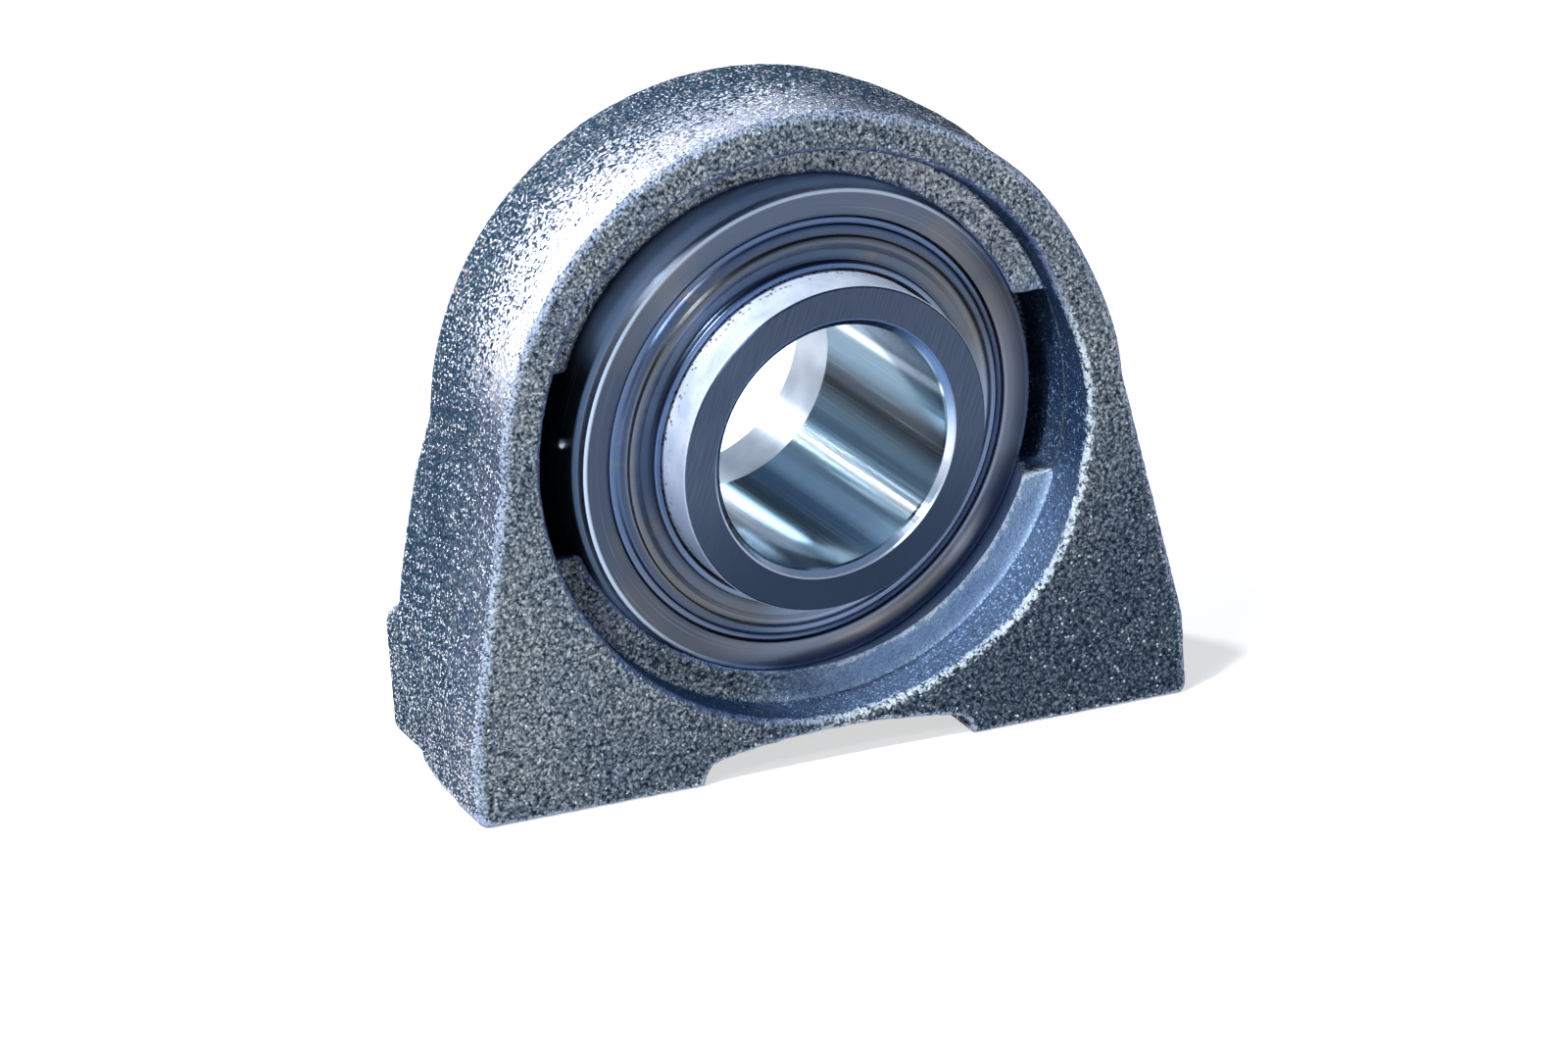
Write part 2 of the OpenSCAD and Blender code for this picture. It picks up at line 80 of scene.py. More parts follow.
class Tree:
    """A material's node tree, with short ways to add what the looks here need"""

    def __init__(self, name):
        self.mat = bpy.data.materials.new(name)
        self.mat.use_nodes = True
        self.nodes = self.mat.node_tree.nodes
        self.links = self.mat.node_tree.links
        self.nodes.clear()
        self.out = self.nodes.new("ShaderNodeOutputMaterial")
        self.bsdf = self.nodes.new("ShaderNodeBsdfPrincipled")
        self.link(self.bsdf.outputs[0], self.out.inputs[0])
        self.coord = self.nodes.new("ShaderNodeTexCoord").outputs["Object"]

    def link(self, a, b):
        self.links.new(a, b)

    def put(self, value, socket):
        """Links a socket, or sets a number, a vector or a colour without its alpha"""
        if isinstance(value, bpy.types.NodeSocket):
            self.link(value, socket)
        elif hasattr(value, "__len__") and len(value) < len(socket.default_value):
            socket.default_value = (*value, 1.0)
        else:
            socket.default_value = value

    def set(self, name, value):
        self.put(value, self.bsdf.inputs[name])

    def math(self, op, a, b=0.0):
        n = self.nodes.new("ShaderNodeMath")
        n.operation = op
        self.put(a, n.inputs[0])
        self.put(b, n.inputs[1])
        return n.outputs[0]

    def fold(self, op, first, others):
        for other in others:
            first = self.math(op, first, other)
        return first

    def times(self, first, *others):
        return self.fold("MULTIPLY", first, others)

    def plus(self, first, *others):
        return self.fold("ADD", first, others)

    def most(self, first, *others):
        return self.fold("MAXIMUM", first, others)

    def minus(self, a, b):
        return self.math("SUBTRACT", a, b)

    def rest(self, a):
        """What is left of 1"""
        return self.math("SUBTRACT", 1.0, a)

    def away(self, a, b):
        """Distance between two numbers"""
        return self.math("ABSOLUTE", self.minus(a, b))

    def length(self, a, b):
        return self.math("SQRT", self.plus(self.times(a, a), self.times(b, b)))

    def vmath(self, op, a, b=(0, 0, 0)):
        n = self.nodes.new("ShaderNodeVectorMath")
        n.operation = op
        self.put(a, n.inputs[0])
        self.put(b, n.inputs["Scale" if op == "SCALE" else 1])
        return n.outputs["Vector"]

    def from_grey(self, colour, scale):
        """Vector from a random colour, about zero"""
        return self.vmath("SCALE", self.vmath("SUBTRACT", colour, (0.5, 0.5, 0.5)), scale)

    def split(self, v):
        n = self.nodes.new("ShaderNodeSeparateXYZ")
        self.link(v, n.inputs[0])
        return n.outputs[0], n.outputs[1], n.outputs[2]

    def join(self, x, y, z):
        n = self.nodes.new("ShaderNodeCombineXYZ")
        for value, socket in zip((x, y, z), n.inputs):
            self.put(value, socket)
        return n.outputs[0]

    def noise(self, vec, size_mm, detail=3.0, rough=0.55, distort=0.0, output="Fac"):
        n = self.nodes.new("ShaderNodeTexNoise")
        self.link(vec, n.inputs["Vector"])
        n.inputs["Scale"].default_value = 1.0 / (size_mm * MM)
        n.inputs["Detail"].default_value = detail
        n.inputs["Roughness"].default_value = rough
        n.inputs["Distortion"].default_value = distort
        return n.outputs[output]

    def cells(self, vec, size_mm, output="Distance"):
        n = self.nodes.new("ShaderNodeTexVoronoi")
        self.link(vec, n.inputs["Vector"])
        n.inputs["Scale"].default_value = 1.0 / (size_mm * MM)
        return n.outputs[output]

    def ramp(self, fac, stops):
        n = self.nodes.new("ShaderNodeValToRGB")
        elements = n.color_ramp.elements
        while len(elements) < len(stops):
            elements.new(0.5)
        for element, (place, colour) in zip(elements, stops):
            element.position = place
            element.color = (*colour, 1)
        self.put(fac, n.inputs[0])
        return n.outputs[0]

    def span(self, fac, lo, hi, to_lo=0.0, to_hi=1.0):
        """Smooth step from to_lo at lo to to_hi at hi"""
        n = self.nodes.new("ShaderNodeMapRange")
        n.interpolation_type = "SMOOTHSTEP"
        for value, socket in zip((fac, lo, hi, to_lo, to_hi), n.inputs[:5]):
            self.put(value, socket)
        return n.outputs[0]

    def span_mm(self, fac, lo, hi, to_lo=0.0, to_hi=1.0):
        """Smooth step between two places in millimetres"""
        return self.span(fac, lo * MM, hi * MM, to_lo, to_hi)

    def attr(self, name):
        n = self.nodes.new("ShaderNodeAttribute")
        n.attribute_name = name
        return n.outputs["Fac"]

    def mix(self, fac, a, b, mode="MIX"):
        n = self.nodes.new("ShaderNodeMix")
        n.data_type = "RGBA"
        n.blend_type = mode
        self.put(fac, n.inputs[0])
        self.put(a, n.inputs[6])
        self.put(b, n.inputs[7])
        return n.outputs[2]

    def bump(self, height, depth_mm, normal=None, strength=1.0):
        n = self.nodes.new("ShaderNodeBump")
        n.inputs["Strength"].default_value = strength
        n.inputs["Distance"].default_value = depth_mm * MM
        self.put(height, n.inputs["Height"])
        if normal is not None:
            self.link(normal, n.inputs["Normal"])
        return n.outputs[0]

    def normal(self, value):
        self.link(value, self.bsdf.inputs["Normal"])

    def brushed_round(self, at, amount):
        """Spreads highlights across fine lines that run round the insert's axis"""
        turn = self.nodes.new("ShaderNodeMapping")
        turn.vector_type = "VECTOR"
        turn.inputs["Rotation"].default_value = (PITCH, 0.0, YAW)
        self.link(self.join(self.times(at.cz, -1.0), 0.0, at.cx), turn.inputs["Vector"])
        world = self.nodes.new("ShaderNodeVectorTransform")
        world.vector_type = "VECTOR"
        world.convert_from = "OBJECT"
        world.convert_to = "WORLD"
        self.link(turn.outputs[0], world.inputs[0])
        surface = self.nodes.new("ShaderNodeNewGeometry").outputs["Normal"]
        self.link(self.vmath("CROSS_PRODUCT", surface, world.outputs[0]), self.bsdf.inputs["Tangent"])
        self.bsdf.inputs["Anisotropic"].default_value = amount


# Cast iron of the housing


# Spacing of its bare facets, and where its looks give way to each other, in millimetres
GLINT_CELL = 0.44
PARTING_Y = (-2, 1)
MOUTH_R = (45.6, 45.0)
SOLE_Z = (8, 7.5)


class Skin:
    """What the looks of the casting share: places, what its mesh marks, grains and random facets"""

    def __init__(self, t):
        self.p = t.coord
        self.x, self.y, self.z = t.split(self.p)
        self.side, self.wall, self.ledge = t.attr("side"), t.attr("wall"), t.attr("ledge")
        self.machined, self.convex = t.attr("machined"), t.attr("convex")
        self.tiny = t.noise(self.p, 0.20, 2, 0.6)
        self.fine = t.noise(self.p, 0.42, 2, 0.55)
        self.mid = t.noise(self.p, 1.2, 2, 0.5)
        wander = t.from_grey(t.noise(self.p, 0.9, 2, 0.5, output="Color"), 0.7 * MM)
        warped = t.vmath("ADD", self.p, wander)
        dome = t.span(t.cells(warped, 0.55), 0.95, 0.0)
        crinkle = t.noise(warped, 0.62, 3, 0.62, 0.9)
        self.height = t.plus(t.times(dome, 0.22), t.times(crinkle, 0.78))
        self.spot = t.cells(self.p, GLINT_CELL)
        self.facet = t.cells(self.p, GLINT_CELL, "Color")
        self.pick = t.split(self.facet)
        up = t.minus(self.z, CENTRE.z)
        self.from_axis = t.length(self.x, up)
        self.low_right = t.span_mm(t.minus(self.x, t.times(up, 0.8)), 16, 44)


def face_colour(t, s):
    """Rounded pale grains over dark gaps that are partly painted shade, with painted shade that makes
    them darker and bluer towards the base and the right
    """
    grains = t.ramp(s.height, [(0.35, (0.014, 0.028, 0.046)), (0.50, (0.165, 0.195, 0.220)),
                               (0.66, (0.54, 0.56, 0.55))])
    shaded_grains = t.ramp(s.height, [(0.35, (0.006, 0.014, 0.029)), (0.50, (0.044, 0.068, 0.096)),
                                 (0.66, (0.18, 0.22, 0.26))])
    # Painted shade: the face darkens towards the base and the right, away from the lamps
    low = t.span_mm(t.minus(s.z, t.times(s.x, 0.45)), 38, -6)
    return t.mix(t.times(low, 0.9), grains, shaded_grains)


def side_colour(t, s):
    """Arch and flanks: dark slate, paler in front of the parting line, with a painted highlight of pale
    metal at the arch's top left
    """
    rear = t.ramp(s.fine, [(0.36, (0.008, 0.018, 0.032)), (0.54, (0.030, 0.052, 0.078)),
                           (0.70, (0.100, 0.150, 0.205))])
    front = t.ramp(s.fine, [(0.34, (0.045, 0.052, 0.085)), (0.50, (0.13, 0.14, 0.19)),
                            (0.66, (0.30, 0.31, 0.38))])
    highlight_colour = t.ramp(s.fine, [(0.34, (0.04, 0.05, 0.09)), (0.47, (0.40, 0.41, 0.50)),
                             (0.64, (0.80, 0.80, 0.88))])
    # Painted highlight: pale metal where the key lamp's highlight falls on the arch's top left
    high = t.times(t.span_mm(s.z, 58, 74), t.span_mm(s.x, 16, -16))
    front = t.mix(high, t.mix(0.35, rear, front), highlight_colour)

    # The parting line wanders, and breaks up into single facets
    drift = t.plus(t.times(s.mid, 6 * MM), t.times(t.noise(s.p, 4.0, 2, 0.5), 10 * MM),
                   t.times(t.minus(s.pick[2], 0.5), 18 * MM))
    behind = t.span_mm(t.plus(s.y, drift), *PARTING_Y)
    highlight_metal = t.times(s.side, high, t.rest(behind))
    return t.mix(behind, front, rear), highlight_metal


def recess_colours(t, s, face):
    """Dark blue wall, with painted glints and painted light at the lower right, and a ledge with painted
    light: paler at the top, where it lies in shade, and smoother and paler at the lower right
    """
    blue = t.mix(t.span(s.tiny, 0.3, 0.7), (0.22, 0.34, 0.56), (0.48, 0.64, 0.84))
    wall = t.mix(t.span(s.fine, 0.36, 0.66), (0.006, 0.016, 0.044), (0.024, 0.056, 0.130))
    # Painted glints: pale blue specks on the wall at the lower right
    wall = t.mix(t.times(t.span(s.tiny, 0.58, 0.70), s.low_right), wall, (0.20, 0.34, 0.62))
    # Painted light: the wall turns a lighter blue at the lower right
    wall = t.mix(t.times(s.low_right, t.span_mm(s.z, 44, 26, 0.04, 0.28)), wall, blue)
    # Painted light on the ledge's top, which lies in shade, over gaps that are partly painted shade
    ledge = t.ramp(s.height, [(0.35, (0.03, 0.05, 0.08)), (0.50, (0.48, 0.52, 0.54)),
                              (0.64, (0.94, 0.95, 0.94))])
    ledge = t.mix(t.span_mm(s.z, 45, 75), face, ledge)
    # Painted light: the ledge turns pale blue at the lower right
    return wall, t.mix(t.times(s.low_right, 0.85), ledge, blue)


def edged(t, s, colour):
    """Rubbed edges, pale partly from wear and partly as painted highlight, which turn ragged and nearly
    white with painted highlight on the recess's mouth at the lower right
    """
    mouth = t.span_mm(s.from_axis, *MOUTH_R)
    ragged = t.times(s.convex, t.span(s.fine, 0.35, 0.65, 0.45, 1.7))
    torn = t.span(t.noise(s.p, 1.0, 3, 0.6), 0.42, 0.60, -0.5, 1.3)
    torn = t.times(mouth, s.low_right, torn)
    edge = t.span(t.times(ragged, t.plus(torn, 1.0)), 0.18, 0.48)
    # Painted highlight: nearly white on the mouth at the lower right, dark blue elsewhere on it
    pale = t.mix(s.low_right, (0.085, 0.125, 0.26), (0.84, 0.92, 0.98))
    return t.mix(t.times(edge, 0.8), colour, t.mix(mouth, (0.50, 0.58, 0.76), pale))


def cut_colour(t, s):
    """Machined seat, with painted light that makes it paler and bluer, as it lies in shade, and the
    darker metal of the base and the tapped holes' mouths
    """
    strokes = t.noise(t.join(t.times(s.x, 0.1), s.y, s.z), 0.4, 2, 0.6)
    strokes = t.span(strokes, 0.3, 0.7)
    # Painted light: the seat's pale blue
    seat = t.mix(strokes, (0.26, 0.36, 0.56), (0.36, 0.46, 0.66))
    sole = t.mix(strokes, (0.17, 0.19, 0.22), (0.34, 0.36, 0.40))
    return t.mix(t.span_mm(s.z, *SOLE_Z), seat, sole)


def glints(t, s):
    """1 on bare facets of metal, which crowd at the top left, under the painted highlight, and near the
    base; on the recess wall, mostly at the lower right, they are painted glints
    """
    size = t.span(s.pick[1], 0.0, 1.0, 0.20, 0.50)
    crowd = t.times(t.span_mm(s.x, 8, -22), t.span_mm(s.z, 56, 72))
    crowd = t.most(crowd, t.span_mm(s.z, 34, 14))
    rare = t.minus(0.62, t.times(crowd, 0.36))
    low_wall = t.times(s.wall, s.low_right, t.span_mm(s.z, 74, 44, 0.08, 0.75))
    where = t.most(t.times(t.span(s.height, 0.35, 0.60), 0.16), s.side, low_wall)
    return t.times(t.math("LESS_THAN", s.spot, size), t.math("GREATER_THAN", s.pick[0], rare),
                   t.math("GREATER_THAN", where, s.pick[2]), t.rest(s.machined))


def cast_iron():
    t = Tree("cast_iron")
    s = Skin(t)
    face = face_colour(t, s)
    side, highlight_metal = side_colour(t, s)
    wall, ledge = recess_colours(t, s, face)
    glint = glints(t, s)

    colour = t.mix(s.side, face, side)
    colour = t.mix(s.ledge, colour, ledge)
    colour = t.mix(s.wall, colour, wall)
    colour = t.mix(s.machined, edged(t, s, colour), cut_colour(t, s))
    broad = t.noise(s.p, 11.0, 3, 0.55)
    shade = t.mix(t.span(broad, 0.32, 0.68), (0.80, 0.84, 0.92), (1.0, 1.0, 1.0))
    colour = t.mix(1.0, colour, shade, "MULTIPLY")
    tint = t.mix(s.pick[1], (0.66, 0.80, 0.98), (0.92, 0.96, 1.0))
    tint = t.mix(t.span(s.pick[2], 0.84, 0.88), tint, (0.74, 0.58, 0.56))
    # Painted glints: on the recess wall the glints are a matt pale blue
    tint = t.mix(s.wall, tint, (0.40, 0.62, 0.96))
    t.set("Base Color", t.mix(t.times(glint, 0.9), colour, tint))

    # Sides are matt apart from their glints and the painted highlight at the top left, the painted
    # glints on the recess wall are nearly matt, and the faces are half metal
    bare = t.times(glint, t.rest(t.times(s.wall, 0.9)))
    grained = t.rest(t.most(s.side, t.times(s.wall, glint)))
    t.set("Metallic", t.most(bare, t.times(s.machined, 0.5), highlight_metal, t.times(grained, 0.5)))
    t.set("Specular IOR Level", 0.0)
    rough = t.span(s.height, 0.30, 0.70, 0.52, 0.30)
    rough = t.times(rough, t.rest(t.times(glint, 0.55)))
    t.set("Roughness", t.mix(s.machined, rough, (0.34, 0.34, 0.34)))

    # Relief, and facets that each lean their own way
    depth = t.times(t.rest(t.times(s.machined, 0.96)), t.rest(t.times(s.side, 0.45)),
                    t.rest(t.times(s.ledge, s.low_right, 0.7)))
    n = t.bump(t.times(s.mid, depth), 0.50)
    n = t.bump(t.times(s.height, depth), 0.55, n)
    n = t.bump(t.times(s.tiny, depth), 0.07, n)
    tilted = t.vmath("NORMALIZE", t.vmath("ADD", n, t.from_grey(s.facet, 1.1)))
    t.normal(t.vmath("NORMALIZE", t.mix(glint, n, tilted)))
    return t.mat


# Steels and rubber of the insert, with places in millimetres from its axis (R) or middle (W)


# Outer ring: end face, painted warm highlight on it, land beside it, painted shade of the loading slot,
# depth of the sphere's painted shade
FACE_R = (37.4, 37.0)
WARM_HIGHLIGHT_R, WARM_HIGHLIGHT_HALF = 35.4, (1.4, 0.3)
LAND_W = (11.7, 12.0)
SLOT_SHADE_W = (11.2, 10.6)
DEEP_SHADE_W = (9.5, 5.5)

# Inner ring: end faces, outside, rust beside the caps, and the bore's ground stretch, rim and grain
FRONT_W = (21.1, 21.25)
BACK_W = (-26.2, -26.35)
OUTSIDE_R = (22.5, 23.5)
RUST_W, RUST_R = (17.2, 15.0), (24.8, 25.2)
GROUND_W, GROUND_R = (-15.5, -16.0), (22.6, 22.2)
RIM_W, RIM_IN_R, RIM_OUT_R = (19.5, 20.0), (19.25, 19.4), (20.4, 20.2)
GRAIN_R = (19.5, 19.2)

# Seal cap: hole and rim
RINGS_R = (25.8, 33.7)


class Local:
    """Places on the insert in its own frame: radius, distance to the front, turn round the axis"""

    def __init__(self, t):
        n = t.nodes.new("ShaderNodeMapping")
        n.vector_type = "TEXTURE"
        n.inputs["Location"].default_value = CENTRE
        n.inputs["Rotation"].default_value = (PITCH, 0.0, YAW)
        t.link(t.coord, n.inputs["Vector"])
        self.vec = n.outputs[0]
        self.x, back, self.z = t.split(self.vec)
        self.r = t.length(self.x, self.z)
        self.w = t.times(back, -1.0)
        self.degrees = t.times(t.math("ARCTAN2", self.z, self.x), 180 / math.pi)
        # Point on the unit circle, so that what runs round the axis has no seam
        self.cx = t.math("DIVIDE", self.x, self.r)
        self.cz = t.math("DIVIDE", self.z, self.r)
        self.low_right = t.minus(self.cx, self.cz)


def turned(t, at, size_mm):
    """Fine lines round the insert's axis"""
    lap = size_mm * MM
    v = t.join(t.plus(at.r, t.times(at.w, 0.7)), t.times(at.cx, lap), t.times(at.cz, lap))
    return t.noise(v, size_mm, 3, 0.6)


def outer_steel():
    t = Tree("outer_ring_steel")
    at = Local(t)
    lines = turned(t, at, 0.16)
    patch = t.noise(at.vec, 26.0, 2, 0.5)

    # End face: ground, with faint stains, painted light that makes it bluer at the top and lower right,
    # and a painted warm highlight there
    face = t.mix(t.span(patch, 0.40, 0.60), (0.056, 0.074, 0.112), (0.112, 0.110, 0.112))
    stain = t.noise(at.vec, 6.0, 3, 0.55, 0.5)
    face = t.mix(t.times(t.span(stain, 0.60, 0.76), 0.35), face, (0.20, 0.145, 0.105))
    right = t.span(at.low_right, 0.20, 1.15)
    face = t.mix(t.times(right, 0.7), face, (0.230, 0.270, 0.360))
    face = t.mix(t.times(t.span(at.cz, 0.35, 0.90), 0.12), face, (0.30, 0.36, 0.50))
    warm_highlight = t.span_mm(t.away(at.r, WARM_HIGHLIGHT_R * MM), *WARM_HIGHLIGHT_HALF)
    warm_highlight = t.times(warm_highlight, t.span(at.cz, -0.45, -0.70), t.span(at.cx, 0.0, 0.35))
    face = t.mix(t.times(warm_highlight, 0.9), face, (0.88, 0.76, 0.60))

    # Sphere: painted blue light near its edge, painted shade deeper in and in the left slot, with a
    # polished land
    ball = t.mix(t.span(patch, 0.3, 0.7), (0.28, 0.42, 0.68), (0.36, 0.50, 0.76))
    ball = t.mix(t.span_mm(at.w, *DEEP_SHADE_W), ball, (0.022, 0.034, 0.060))
    slot_shade = t.times(t.span(at.cx, -0.82, -0.92), t.span_mm(at.w, *SLOT_SHADE_W))
    ball = t.mix(slot_shade, ball, (0.006, 0.009, 0.016))
    ball = t.mix(t.span_mm(at.w, *LAND_W), ball, (0.42, 0.50, 0.64))

    colour = t.mix(t.span_mm(at.r, *FACE_R), ball, face)
    colour = t.mix(t.times(t.span(lines, 0.56, 0.80), 0.4), colour, (0.30, 0.34, 0.42))
    t.set("Base Color", colour)
    t.set("Metallic", t.span_mm(at.w, *LAND_W, 0.45, 1.0))
    t.set("Roughness", t.plus(t.times(lines, 0.12), t.span(patch, 0.3, 0.7, 0.22, 0.32)))
    t.brushed_round(at, 0.6)
    t.normal(t.bump(lines, 0.008, strength=0.35))
    return t.mat


# Painted reflections: light and dark streaks that run the length of the bore: middle and half width in
# degrees, colour and strength
BORE_REFLECTIONS = [(16, 5, (0.78, 0.86, 0.94), 0.9),
              (34, 14, (0.30, 0.42, 0.58), 0.75),
              (-13, 16, (0.010, 0.020, 0.032), 1.0),
              (-44, 8, (0.004, 0.008, 0.012), 0.985),
              (-60, 9, (0.60, 0.82, 0.95), 0.85),
              (-80, 9, (0.05, 0.085, 0.10), 0.7),
              (-99, 8, (0.62, 0.70, 0.78), 0.8)]

# Radius at which the bore's looks are drawn, and lean of the grinding lines on the end faces
BORE_R = 19.0
HATCH_DEG = 20


def inner_steel():
    t = Tree("inner_ring_steel")
    at = Local(t)
    lines = turned(t, at, 0.14)
    rounds = (t.times(at.cx, BORE_R * MM), t.times(at.cz, BORE_R * MM))
    along = t.noise(t.join(*rounds, t.times(at.w, 0.012)), 0.5, 3, 0.6)
    broad = t.noise(t.join(*rounds, t.times(at.w, 0.03)), 7.0, 2, 0.5)
    grey = t.noise(at.vec, 5.0, 3, 0.5)
    grit = t.noise(at.vec, 0.5, 3, 0.6)

    # End faces: straight grinding lines at HATCH_DEG, darker towards the bottom
    cos, sin = math.cos(math.radians(HATCH_DEG)), math.sin(math.radians(HATCH_DEG))
    across = t.plus(t.times(at.x, cos), t.times(at.z, -sin))
    down = t.plus(t.times(at.x, sin), t.times(at.z, cos))
    hatch = t.noise(t.join(across, t.times(down, 0.03), 0.0), 0.22, 3, 0.7)
    face = t.mix(t.span(hatch, 0.35, 0.68), (0.046, 0.064, 0.108), (0.072, 0.096, 0.146))
    face = t.mix(t.span(at.cz, 0.1, -0.9), face, (0.026, 0.042, 0.074))

    # Outside: pale ground steel, with grit and with rust beside the caps, and painted shade that darkens
    # it towards the bottom
    outside = t.mix(t.span(grey, 0.3, 0.7), (0.52, 0.60, 0.75), (0.72, 0.79, 0.91))
    outside = t.mix(t.span(at.cz, 0.50, -0.35, 0.0, 0.75), outside, (0.26, 0.34, 0.50))
    outside = t.mix(t.times(t.span(grit, 0.60, 0.72), 0.5), outside, (0.22, 0.27, 0.38))
    spots = t.cells(at.vec, 0.8)
    chance = t.split(t.cells(at.vec, 0.8, "Color"))[0]
    rust = t.times(t.math("LESS_THAN", spots, 0.34), t.span(chance, 0.45, 0.5),
                   t.span_mm(at.w, *RUST_W), t.span_mm(at.r, *RUST_R))

    # Bore: honed, with painted reflections as streaks along it, and a paler ground stretch at the back
    bore = t.mix(t.span(broad, 0.36, 0.64), (0.075, 0.145, 0.195), (0.150, 0.250, 0.345))
    for middle, half, tone, amount in BORE_REFLECTIONS:
        painted_streak = t.span(t.away(at.degrees, middle), half, half * 0.15)
        bore = t.mix(t.times(painted_streak, amount), bore, tone)
    bore = t.mix(t.times(t.span(along, 0.52, 0.78), 0.22), bore, (0.50, 0.60, 0.72))
    ground = t.times(t.span_mm(at.w, *GROUND_W), t.span_mm(at.r, *GROUND_R))
    bore = t.mix(ground, bore, t.mix(t.span(grey, 0.3, 0.7), (0.46, 0.52, 0.60), (0.60, 0.66, 0.74)))

    # The three regions, and the chamfer round the bore's front end, with painted light below and painted
    # shade above
    end = t.most(t.span_mm(at.w, *FRONT_W), t.span_mm(at.w, *BACK_W))
    beyond_bore = t.span_mm(at.r, *OUTSIDE_R)
    colour = t.mix(end, t.mix(beyond_bore, bore, outside), face)
    rim = t.times(t.span_mm(at.r, *RIM_IN_R), t.span_mm(at.r, *RIM_OUT_R), t.span_mm(at.w, *RIM_W))
    lit = t.span(at.cz, 0.35, -0.35)
    colour = t.mix(rim, colour, t.mix(lit, (0.13, 0.22, 0.42), (0.66, 0.74, 0.88)))
    t.set("Base Color", t.mix(rust, colour, (0.06, 0.028, 0.018)))

    skin = t.times(beyond_bore, t.rest(end))
    t.set("Metallic", t.rest(t.most(rust, t.times(skin, 0.75), t.times(ground, 0.6))))
    rough = t.mix(beyond_bore, t.span(along, 0.3, 0.7, 0.15, 0.22), t.span(lines, 0.3, 0.7, 0.32, 0.44))
    rough = t.mix(t.times(ground, 0.7), rough, (0.5, 0.5, 0.5))
    t.set("Roughness", t.mix(end, rough, t.span(hatch, 0.3, 0.7, 0.34, 0.44)))
    t.brushed_round(at, 0.75)
    n = t.bump(t.times(hatch, end), 0.03, strength=0.6)
    n = t.bump(t.times(grit, skin), 0.05, n, 0.5)
    t.normal(t.bump(t.times(along, t.span_mm(at.r, *GRAIN_R)), 0.006, n, 0.3))
    return t.mat


# Colours of the seal cap's rings, from its hole at 0 to its rim at 1
CAP_RINGS = [(0.0, (0.17, 0.23, 0.34)), (0.08, (0.060, 0.070, 0.090)), (0.14, (0.095, 0.115, 0.150)),
             (0.34, (0.120, 0.128, 0.145)), (0.42, (0.150, 0.160, 0.180)), (0.52, (0.115, 0.118, 0.130)),
             (0.66, (0.160, 0.155, 0.150)), (0.74, (0.075, 0.092, 0.125)), (0.90, (0.080, 0.105, 0.160)),
             (1.0, (0.14, 0.18, 0.26))]


def cap_steel():
    t = Tree("seal_cap_steel")
    at = Local(t)
    lines = turned(t, at, 0.22)
    patch = t.noise(at.vec, 22.0, 2, 0.5)
    rings = t.ramp(t.span_mm(at.r, *RINGS_R), CAP_RINGS)
    cool = t.mix(1.0, rings, (0.78, 0.90, 1.10), "MULTIPLY")
    warm = t.mix(1.0, rings, (1.06, 1.02, 0.96), "MULTIPLY")
    colour = t.mix(t.span(patch, 0.38, 0.62), cool, warm)
    smudge = t.noise(at.vec, 5.0, 3, 0.55, 0.5)
    colour = t.mix(t.times(t.span(smudge, 0.60, 0.76), 0.30), colour, (0.24, 0.19, 0.15))
    # Painted light: the cap turns paler and bluer at the lower right
    right = t.span(at.low_right, 0.5, 1.2)
    t.set("Base Color", t.mix(t.times(right, 0.6), colour, (0.30, 0.39, 0.58)))
    t.set("Metallic", 1.0)
    t.set("Roughness", t.plus(t.times(lines, 0.10), t.span(patch, 0.3, 0.7, 0.20, 0.30)))
    t.brushed_round(at, 0.5)
    dents = t.span(t.cells(at.vec, 5.5), 0.07, 0.0)
    n = t.bump(dents, 0.08, strength=0.5)
    t.normal(t.bump(lines, 0.008, n, 0.35))
    return t.mat


def steel(name, colour, rough, size_mm=0.3):
    """Plain steel of the hidden pieces, for which colour and rough are middle values"""
    t = Tree(name)
    grain = t.noise(t.coord, size_mm, 3, 0.6)
    blotch = t.noise(t.coord, 5.0, 3, 0.5)
    dim = [c * 0.8 for c in colour]
    lit = [c * 1.15 for c in colour]
    t.set("Base Color", t.mix(t.span(blotch, 0.3, 0.7), dim, lit))
    t.set("Metallic", 1.0)
    t.set("Roughness", t.plus(t.times(grain, 0.16), rough - 0.08))
    t.normal(t.bump(grain, 0.01, strength=0.4))
    return t.mat


def rubber():
    t = Tree("seal_rubber")
    at = Local(t)
    grain = t.noise(t.coord, 0.5, 3, 0.6)
    colour = t.mix(grain, (0.010, 0.012, 0.016), (0.03, 0.033, 0.04))
    spots = t.math("LESS_THAN", t.cells(at.vec, 0.9), 0.4)
    chance = t.split(t.cells(at.vec, 0.9, "Color"))[0]
    dirt = t.times(spots, t.span(chance, 0.5, 0.56))
    t.set("Base Color", t.mix(t.times(dirt, 0.8), colour, (0.085, 0.040, 0.025)))
    t.set("Roughness", t.span(grain, 0.3, 0.7, 0.42, 0.62))
    t.normal(t.bump(grain, 0.05, strength=0.3))
    return t.mat


FLOOR_GLOW = 0.62


